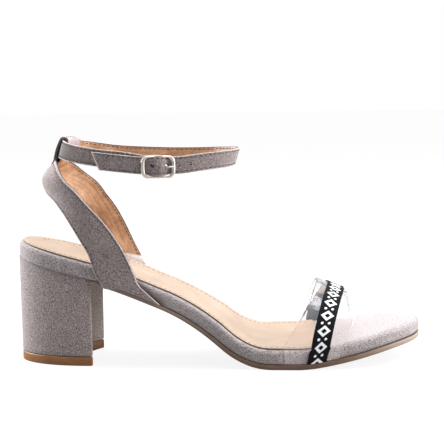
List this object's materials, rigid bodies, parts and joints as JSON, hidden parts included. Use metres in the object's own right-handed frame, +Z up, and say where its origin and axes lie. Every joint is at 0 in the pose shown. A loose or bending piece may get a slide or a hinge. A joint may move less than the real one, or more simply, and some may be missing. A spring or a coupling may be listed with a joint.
{
  "type": "block heel sandal",
  "caption": "Open-toed block heel sandal with a suede-wrapped sole, a clear toe band with a patterned ribbon, a sling strap round the heel and a buckled ankle strap",
  "frame": {"origin": "on the floor, under the middle of the heel, on the resting face of the heel's top piece", "axes": "+X from the heel to the toe, +Z up, -Y to the shoe's outer side, where the buckle is"},
  "size_m": [0.2292, 0.0828, 0.1279],
  "materials": {
    "suede": "short brushed nap, mauve grey",
    "lining": "smooth matt, pale peach",
    "outsole": "matt, taupe brown",
    "top_piece": "satin brown",
    "clear_band": "clear, glossy",
    "ribbon": "woven black with a pale motif",
    "buckle_metal": "polished, pale"
  },
  "bodies": {
    "root": {"heel_top_piece": "top_piece", "heel_block": "suede", "outsole": "outsole", "platform": "suede", "sock_lining": "lining", "quarter_strap": "suede", "ankle_strap": "suede", "toe_band": "clear_band", "toe_ribbon": "ribbon", "buckle_frame": "buckle_metal", "buckle_prong": "buckle_metal"}
  },
  "joints": []
}
